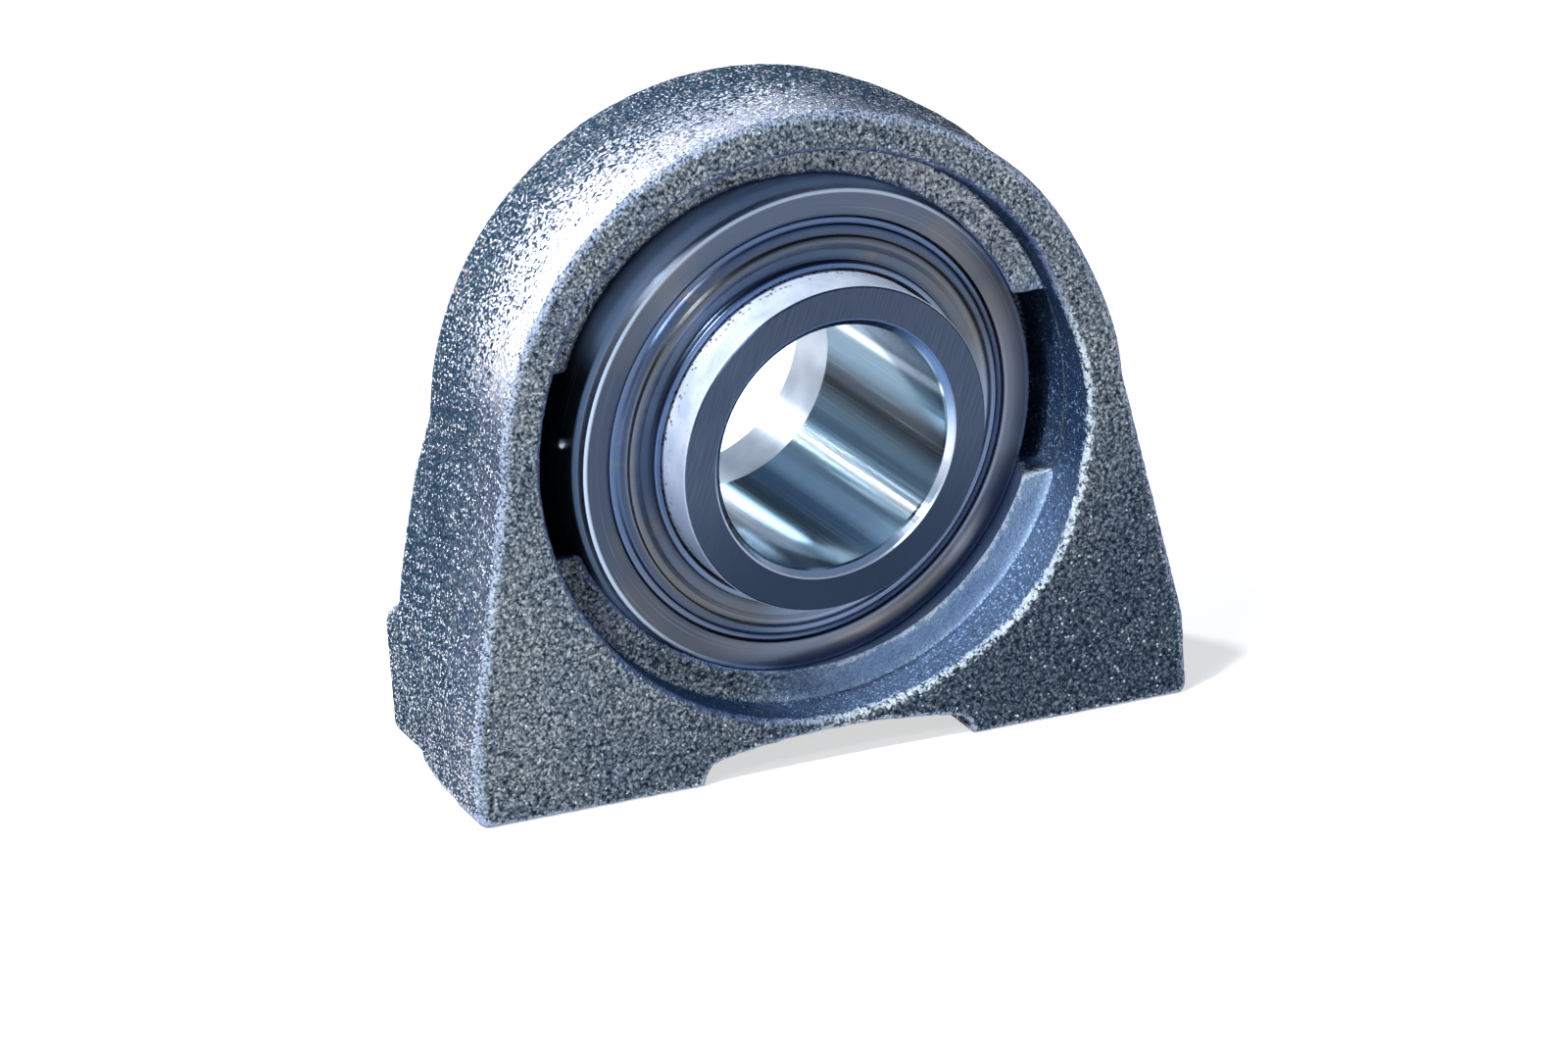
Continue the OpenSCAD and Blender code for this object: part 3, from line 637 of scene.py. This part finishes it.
def floor_white():
    """Pale floor that shows as white to the camera and in reflections, and keeps its shadow"""
    t = Tree("studio_white")
    n = t.noise(t.coord, 90.0, 2, 0.4)
    t.set("Base Color", t.mix(n, (0.48, 0.48, 0.49), (0.52, 0.52, 0.53)))
    t.set("Roughness", 0.9)
    path = t.nodes.new("ShaderNodeLightPath").outputs
    seen = t.most(path["Is Camera Ray"], path["Is Glossy Ray"], path["Is Transmission Ray"])
    glow = t.nodes.new("ShaderNodeEmission")
    glow.inputs["Color"].default_value = (1, 1, 1, 1)
    t.link(t.times(seen, FLOOR_GLOW), glow.inputs["Strength"])
    add = t.nodes.new("ShaderNodeAddShader")
    t.link(t.bsdf.outputs[0], add.inputs[0])
    t.link(glow.outputs[0], add.inputs[1])
    t.link(add.outputs[0], t.out.inputs[0])
    return t.mat


# Mesh helpers


def assign(ob, mat):
    ob.data.materials.clear()
    ob.data.materials.append(mat)


def step(x, lo, hi):
    """Smooth step from 0 at lo to 1 at hi"""
    k = np.clip((x - lo) / (hi - lo), 0, 1)
    return k * k * (3 - 2 * k)


def hump(x, height, at, width):
    """Bell curve"""
    return height * np.exp(-((x - at) / width) ** 2)


def lattice_noise(p, size_mm, seed):
    """Smooth noise from -1 to 1 at the points p, from a hash of the corners of a grid"""
    q = p / (size_mm * MM)
    cell = np.floor(q).astype(np.int64)
    f = q - cell
    f = f * f * (3 - 2 * f)
    total = np.zeros(len(p))
    for corner in np.ndindex(2, 2, 2):
        k = cell + corner
        h = k[:, 0] * 73856093 ^ k[:, 1] * 19349663 ^ k[:, 2] * 83492791 ^ seed * 912931
        h = (h ^ (h >> 13)) * 1274126177
        h = ((h ^ (h >> 16)) & 0xFFFFFF) / 0x7FFFFF - 1.0
        total += h * np.prod(np.where(corner, f, 1 - f), axis=1)
    return total


def vertex_array(mesh, key):
    values = np.empty(len(mesh.vertices) * 3)
    mesh.vertices.foreach_get(key, values)
    return values.reshape(-1, 3)


def applied(ob):
    """The object's mesh with its modifiers applied"""
    mesh = bpy.data.meshes.new_from_object(ob.evaluated_get(bpy.context.evaluated_depsgraph_get()))
    ob.modifiers.clear()
    ob.data = mesh
    return mesh


def spread(q, amount, radius):
    """Moves points away from the bearing's axis by amount"""
    for k in (0, 2):
        q[:, k] += amount * q[:, k] / radius


# Housing: a cast skin made from the CAD node, with its sizes in millimetres from the bearing centre


SKIN_VOXEL = 0.45
CAD_SEAT_R = 40.06
SEAT_R = 40.12
SEAT_FRONT, SEAT_BACK = -12.9, 13.2
SEAT_SQUARE, BASE_SQUARE = 0.9, 0.8
RECESS_EDGE = (44.3, 43.6)
LEDGE_Y = -12.7
MACHINED_BASE = 0.4
BOLT_X = 42.0
BOLT_R = 6.0
BOLT_TOP = 24.0
THREAD_PITCH = 2.0
THREAD_DEPTH = 0.7
THREAD_REACH = 0.6
THREAD_ENDS = (0.6, 1.6), (20, 18)

# How near vertices lie to the seat, a tapped hole and the ledge's plane, in millimetres
SEAT_NEAR = 0.45
BOLT_NEAR = 1.0
LEDGE_NEAR = 1.2
LEDGE_BLEND = (0.4, 1.0)

# How squarely faces look along the bore's axis where sides end, and where recess walls and ledge meet
SIDE_FLAT = (0.60, 0.30)
WALL_FLAT = (0.75, 0.5)
LEDGE_FLAT = (0.5, 0.75)
EDGE_ROUNDS, EDGE_GAIN = 8, 4.0

# Uneven shape: amount, angle round the bore and width in degrees, and where it fades in and out
BULGE, HOLLOW = (0.55, 51, 9), (0.45, 24, 9)
WIDER, NARROWER = (1.1, -40, 18), (1.1, 20, 14)
ARCH_R, ARCH_LOW, ARCH_Y = (45.0, 48.5), -5, (-12, 4)
RECESS_IN_R, RECESS_OUT_R, RECESS_Y = (41.5, 42.8), (46.5, 44.5), (LEDGE_Y + 0.5, -18)

# Rough skin: height, size and seed of its waves, how far it lies below the CAD face, less on sides
SKIN_WAVES = [(0.075, 1.0, 3), (0.06, 2.2, 5), (0.08, 7.0, 9)]
SKIN_SINK = 0.05
SIDE_CALM = 0.4

# Pits and chips of the casting: x, y, z in the part's frame, radius and depth, in millimetres
PITS = [(-50.9, -21.2, 14.7, 0.9, 0.5), (-52.2, -21.2, 14.5, 0.6, 0.35), (46.5, -21.2, 59.2, 0.9, 0.45),
        (-52.4, -20.6, 49.5, 0.9, 0.4), (-11.9, -14.2, 9.0, 0.8, -0.35)]
PIT_SPREAD = 0.7


def skin_mesh():
    """The CAD node's shape, remeshed finely and evenly with its edges a little softened"""
    ob = bpy.data.objects.new("housing_cast", nodes["housing"].data.copy())
    bpy.context.scene.collection.objects.link(ob)
    remesh = ob.modifiers.new("remesh", "REMESH")
    remesh.mode = "VOXEL"
    remesh.voxel_size = SKIN_VOXEL * MM
    smooth = ob.modifiers.new("smooth", "SMOOTH")
    smooth.factor = 0.5
    smooth.iterations = 4
    return ob, applied(ob)


def averager(mesh):
    """Gives a function that averages values at vertices with those of their neighbours"""
    count = len(mesh.vertices)
    pairs = np.empty(len(mesh.edges) * 2, dtype=np.int64)
    mesh.edges.foreach_get("vertices", pairs)
    one, two = pairs.reshape(-1, 2).T
    degree = np.bincount(pairs, minlength=count)

    def averaged(values, rounds):
        out = values.copy()
        for _ in range(rounds):
            for k in range(out.shape[1]):
                total = np.bincount(one, out[two, k], count) + np.bincount(two, out[one, k], count)
                out[:, k] = 0.5 * out[:, k] + 0.5 * total / degree
        return out

    return averaged


def distort(q, inside, radius):
    """Uneven shape of the casting: a bulge at the arch's top right, and a recess out of round"""
    turn = np.degrees(np.arctan2(q[:, 2], q[:, 0]))
    outer = (1 - inside) * step(radius, *ARCH_R) * (q[:, 2] > ARCH_LOW)
    swell = hump(turn, *BULGE) * step(q[:, 1], *ARCH_Y) - hump(turn, *HOLLOW)
    spread(q, outer * swell, radius)
    mouth = step(radius, *RECESS_IN_R) * step(radius, *RECESS_OUT_R) * step(q[:, 1], *RECESS_Y)
    stray = hump(turn, *WIDER) - hump(turn, *NARROWER)
    spread(q, mouth * stray, radius)


def cut_threads(q):
    """Helical threads in the two tapped holes"""
    for x in (-BOLT_X, BOLT_X):
        dx, dy = q[:, 0] - x, q[:, 1]
        away = np.hypot(dx, dy)
        z = q[:, 2] + CENTRE.z / MM
        phase = z / THREAD_PITCH - np.arctan2(dy, dx) / (2 * np.pi)
        grow = THREAD_DEPTH * (0.5 + 0.5 * np.cos(2 * np.pi * phase))
        grow *= np.abs(away - BOLT_R) < THREAD_REACH
        for lo, hi in THREAD_ENDS:
            grow *= step(z, lo, hi)
        q[:, 0] += grow * dx / np.maximum(away, 0.1)
        q[:, 1] += grow * dy / np.maximum(away, 0.1)


def cast_housing():
    ob, mesh = skin_mesh()
    co = vertex_array(mesh, "co")
    normal = vertex_array(mesh, "normal")
    averaged = averager(mesh)
    q = (co - np.array(CENTRE)) / MM
    radius = np.hypot(q[:, 0], q[:, 2])
    dist = np.linalg.norm(q, axis=1)

    # What the material needs to know: machined faces, sides, recess wall, ledge and outward edges
    inside = step(radius, *RECESS_EDGE)
    seat = (np.abs(dist - CAD_SEAT_R) < SEAT_NEAR) & (q[:, 1] > SEAT_FRONT) & (q[:, 1] < SEAT_BACK)
    seat &= np.abs(np.einsum("ij,ij->i", normal, q / dist[:, None])) > SEAT_SQUARE
    base = (co[:, 2] < MACHINED_BASE * MM) & (normal[:, 2] < -BASE_SQUARE)
    bolt = np.hypot(np.abs(q[:, 0]) - BOLT_X, q[:, 1]) < BOLT_R + BOLT_NEAR
    machined = np.maximum(seat, base | (bolt & (co[:, 2] < BOLT_TOP * MM))).astype(float)
    machined = averaged(machined[:, None], 2)[:, 0]
    flat = np.abs(normal[:, 1])
    side = step(flat, *SIDE_FLAT) * (1 - inside)
    behind_ledge = q[:, 1] - LEDGE_Y
    off_ledge = (behind_ledge < LEDGE_BLEND[0]) | (behind_ledge > LEDGE_BLEND[1])
    wall = step(flat, *WALL_FLAT) * off_ledge * inside * (1 - machined)
    ledge = step(flat, *LEDGE_FLAT) * (np.abs(behind_ledge) < LEDGE_NEAR) * inside
    bend = np.einsum("ij,ij->i", co - averaged(co, EDGE_ROUNDS), normal) / MM
    marks = {"convex": np.clip(bend * EDGE_GAIN, -1, 1), "side": side, "wall": wall, "ledge": ledge,
             "machined": machined}

    distort(q, inside, radius)
    cut_threads(q)

    # Rough skin, left out of what is machined
    rough = sum(height * lattice_noise(co, size, seed) for height, size, seed in SKIN_WAVES)
    rough = (rough * (1 - SIDE_CALM * side) - SKIN_SINK) * (1 - machined)
    q += normal * rough[:, None]
    for x, y, z, r, deep in PITS:
        away = np.linalg.norm(co / MM - (x, y, z), axis=1)
        q -= normal * hump(away, deep, 0, r * PIT_SPREAD)[:, None]
    q[seat] *= (SEAT_R / dist[seat])[:, None]
    co = q * MM + np.array(CENTRE)
    co[base, 2] = 0.0

    mesh.vertices.foreach_set("co", co.ravel())
    for key, values in marks.items():
        mesh.attributes.new(key, "FLOAT", "POINT").data.foreach_set("value", values.astype(np.float32))
    mesh.polygons.foreach_set("use_smooth", [True] * len(mesh.polygons))
    mesh.update()
    assign(ob, MATS["cast"])
    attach(ob, "housing")
    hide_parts("housing")


# Insert: turned pieces, finer than the CAD nodes they stand for, with sizes in millimetres


TURNS = 288
SHARP = math.radians(24)
SPHERE_R = 40.0
HALF = 13.2
LAND_R = 33.0
RACE_R = 6.24
RACE_C = 29.8

# Ground land at the sphere's edge: its step over the face's rim, its width and its bevel
STEP_UP = 0.18
STEP_WIDE = 1.2
BEVEL = math.radians(59)
RIM_SLACK = 0.04

# End face: inset from its rim and depth behind the face, then the dish's radii and depths
RIM_POINTS = [(0.0, 0.15), (0.20, 0.05), (0.62, 0.0)]
DISH_POINTS = [(35.4, 0.0), (34.9, 0.03), (34.2, 0.10), (33.75, 0.14), (33.55, 0.24), (33.5, 0.38)]
COLLAR_R = 33.5
GROOVE_R = 34.3
GROOVE_SLACK = 0.45

# Seal cap: its seat, thickness, rim and hole
CAP_SEAT = 10.85
CAP_T = 0.7
CAP_R = 34.2
CAP_HOLE_R = 26.0

# Locking pin's hole: radius, lean to the front and up, and the cutter's length and middle
PIN_R = 1.04
PIN_FORE, PIN_UP = math.radians(13.1), math.radians(7.5)
CUTTER_LONG = 8
CUTTER_PAST = 1.2


def arc(cx, cy, r, start, end, steps=8):
    angles = [math.radians(start + (end - start) * k / steps) for k in range(steps + 1)]
    return [(cx + r * math.cos(a), cy + r * math.sin(a)) for a in angles]


def lathe(name, outline, body, mat, stands_for, cut=None):
    """Turns a closed outline of (radius, distance to the front) round the insert's axis"""
    count = len(outline)
    angles = [2 * math.pi * k / TURNS for k in range(TURNS)]
    verts = [INSERT @ (Vector((r * math.cos(a), -w, r * math.sin(a))) * MM)
             for a in angles for r, w in outline]
    faces = [(k * count + i, k * count + (i + 1) % count,
              (k + 1) % TURNS * count + (i + 1) % count, (k + 1) % TURNS * count + i)
             for k in range(TURNS) for i in range(count)]
    mesh = bpy.data.meshes.new(name)
    mesh.from_pydata(verts, [], faces)
    ob = bpy.data.objects.new(name, mesh)
    bpy.context.scene.collection.objects.link(ob)
    bm = bmesh.new()
    bm.from_mesh(mesh)
    bmesh.ops.recalc_face_normals(bm, faces=bm.faces)
    bm.to_mesh(mesh)
    bm.free()
    if cut is not None:
        hole = ob.modifiers.new("hole", "BOOLEAN")
        hole.operation = "DIFFERENCE"
        hole.solver = "EXACT"
        hole.object = cut
        applied(ob)
        bpy.data.objects.remove(cut)
    ob.data.polygons.foreach_set("use_smooth", [True] * len(ob.data.polygons))
    ob.data.set_sharp_from_angle(angle=SHARP)
    assign(ob, mat)
    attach(ob, body)
    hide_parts(stands_for)


def pin_hole():
    """Cutter for the locking pin's hole, along the pin's axis"""
    level = math.cos(PIN_FORE)
    way = Vector((-level * math.cos(PIN_UP), -math.sin(PIN_FORE), level * math.sin(PIN_UP)))
    mesh = bpy.data.meshes.new("pin_hole")
    bm = bmesh.new()
    bmesh.ops.create_cone(bm, cap_ends=True, segments=48, radius1=PIN_R * MM, radius2=PIN_R * MM,
                          depth=CUTTER_LONG * MM)
    bm.to_mesh(mesh)
    bm.free()
    ob = bpy.data.objects.new("pin_hole", mesh)
    middle = Matrix.Translation(way * (SPHERE_R + CUTTER_PAST) * MM)
    ob.matrix_world = INSERT @ middle @ way.to_track_quat("Z", "Y").to_matrix().to_4x4()
    bpy.context.scene.collection.objects.link(ob)
    bpy.context.view_layer.update()
    return ob


def ring_outline():
    rim = math.sqrt(SPHERE_R ** 2 - HALF ** 2) - RIM_SLACK
    step_r = rim + STEP_UP
    step_w = HALF - STEP_WIDE
    # The bevel meets the sphere where step_r + s cos, step_w - s sin has the sphere's radius
    b = step_r * math.cos(BEVEL) - step_w * math.sin(BEVEL)
    s = -b + math.sqrt(b * b - (step_r ** 2 + step_w ** 2 - SPHERE_R ** 2))
    top = math.degrees(math.atan2(step_w - s * math.sin(BEVEL), step_r + s * math.cos(BEVEL)))
    groove_w = CAP_SEAT + CAP_T + GROOVE_SLACK
    front = [(step_r, step_w)]
    front += [(rim - inset, HALF - deep) for inset, deep in RIM_POINTS]
    front += [(r, HALF - deep) for r, deep in DISH_POINTS]
    front += [(COLLAR_R, groove_w), (GROOVE_R, groove_w), (GROOVE_R, CAP_SEAT), (LAND_R, CAP_SEAT)]
    back = [(r, -w) for r, w in reversed(front)]
    race_w = math.sqrt(RACE_R ** 2 - (LAND_R - RACE_C) ** 2)
    race = math.degrees(math.asin(race_w / RACE_R))
    return arc(0, 0, SPHERE_R, -top, top, 48) + front + arc(RACE_C, 0, RACE_R, race, -race, 24) + back


def cap_outline():
    """The cap's bends from its rim to its hole: rolled edge, bead, valley, ridge, flat and collar"""
    top = ([(CAP_R, 11.55), (33.72, 11.55), (33.38, 11.62)]
           + arc(32.93, 12.34, 0.41, 8, 90, 6)
           + [(32.55, 12.74), (32.34, 12.80), (32.16, 13.02), (32.0, 13.16)]
           + arc(31.72, 12.98, 0.26, 50, 118, 5)
           + arc(31.2, 14.3, 1.1, -78, -118, 8)
           + arc(29.8, 12.9, 1.2, 55, 120, 12)
           + arc(28.4, 15.1, 1.35, -62, -90, 6)
           + [(27.6, 13.74), (27.0, 13.76), (26.92, 13.9), (26.85, 14.4)]
           + arc(26.55, 14.5, 0.3, 10, 90, 6) + [(CAP_HOLE_R, 14.8)])
    return top + [(r, w - CAP_T) for r, w in reversed(top)]


def insert():
    lathe("outer_ring_turned", ring_outline(), "outer", MATS["outer"], "outer_ring",
          pin_hole())
    for end, sign in (("front", 1), ("rear", -1)):
        outline = [(r, w * sign) for r, w in cap_outline()]
        lathe(end + "_seal_cap_pressed", outline, "outer", MATS["cap"], end + "_seal_cap")


# Light, floor and world


FLOOR_SIZE = 6.0
FLOOR_DROP = 0.0002
SKY_LOW = (1, 1, 1, 1)
SKY_HIGH = (0.17, 0.23, 0.33, 1)
SKY_HIGH_AT = 0.45
SKY_ON_MATT = 0.4
LAMP_AIM = Vector((0, 0, 0.05))

# Lamps: name, place and size in metres, watts and colour
LAMPS = [("key", (-0.36, 0.79, 0.43), (0.10, 0.10), 12.0, (0.95, 0.97, 1.0)),
         ("top", (-0.50, -0.32, 0.87), (0.12, 0.12), 14.0, (0.92, 0.96, 1.0)),
         ("left", (-0.86, 0.20, 0.56), (0.35, 0.45), 1.5, (0.80, 0.90, 1.0)),
         ("front", (-0.60, -0.62, 0.62), (0.15, 0.15), 2.5, (0.90, 0.95, 1.0)),
         ("strip", (0.36, 0.90, 0.50), (0.06, 0.7), 1.5, (0.80, 0.90, 1.0))]


def area(name, at, size, power, colour):
    lamp = bpy.data.lights.new(name, "AREA")
    lamp.shape = "RECTANGLE"
    lamp.size, lamp.size_y = size
    lamp.energy = power
    lamp.color = colour
    ob = bpy.data.objects.new(name, lamp)
    ob.location = at
    ob.rotation_euler = (LAMP_AIM - Vector(at)).to_track_quat("-Z", "Y").to_euler()
    bpy.context.scene.collection.objects.link(ob)


def sky():
    """White at the horizon and blue-grey overhead, dimmer for matt surfaces than in reflections"""
    world = bpy.data.worlds.new("studio")
    bpy.context.scene.world = world
    world.use_nodes = True
    nt = world.node_tree
    nt.nodes.clear()
    out = nt.nodes.new("ShaderNodeOutputWorld")
    bg = nt.nodes.new("ShaderNodeBackground")
    coord = nt.nodes.new("ShaderNodeTexCoord")
    sep = nt.nodes.new("ShaderNodeSeparateXYZ")
    ramp = nt.nodes.new("ShaderNodeValToRGB")
    low, high = ramp.color_ramp.elements
    low.position = 0.0
    low.color = SKY_LOW
    high.position = SKY_HIGH_AT
    high.color = SKY_HIGH
    path = nt.nodes.new("ShaderNodeLightPath")
    level = nt.nodes.new("ShaderNodeMapRange")
    level.inputs["To Min"].default_value = 1.0
    level.inputs["To Max"].default_value = SKY_ON_MATT
    nt.links.new(coord.outputs["Generated"], sep.inputs[0])
    nt.links.new(sep.outputs["Z"], ramp.inputs[0])
    nt.links.new(path.outputs["Is Diffuse Ray"], level.inputs[0])
    nt.links.new(ramp.outputs[0], bg.inputs["Color"])
    nt.links.new(level.outputs[0], bg.inputs["Strength"])
    nt.links.new(bg.outputs[0], out.inputs[0])


def studio():
    bpy.ops.mesh.primitive_plane_add(size=FLOOR_SIZE, location=(0, 0, -FLOOR_DROP))
    floor = bpy.context.object
    floor.name = "floor"
    assign(floor, floor_white())
    sky()
    for lamp in LAMPS:
        area(*lamp)


bpy.context.scene.view_settings.view_transform = "Standard"
camera()
MATS = {
    "cast": cast_iron(),
    "outer": outer_steel(),
    "inner": inner_steel(),
    "cap": cap_steel(),
    "pin": steel("pin_steel", (0.30, 0.32, 0.36), 0.3),
    "ball": steel("ball_steel", (0.62, 0.64, 0.67), 0.12),
    "cage": steel("cage_steel", (0.40, 0.39, 0.37), 0.35),
    "rivet": steel("rivet_steel", (0.34, 0.35, 0.36), 0.35),
    "rubber": rubber(),
}
assign(nodes["outer_ring"], MATS["outer"])
assign(nodes["inner_ring"], MATS["inner"])
assign(nodes["locking_pin"], MATS["pin"])
for name in ("cage_front", "cage_rear"):
    assign(nodes[name], MATS["cage"])
assign(nodes["cage_rivets"], MATS["rivet"])
for k in range(1, 10):
    assign(nodes["ball_%d" % k], MATS["ball"])
for end in ("front", "rear"):
    assign(nodes[end + "_seal_cap"], MATS["cap"])
    assign(nodes[end + "_seal_lip"], MATS["rubber"])
cast_housing()
insert()
studio()
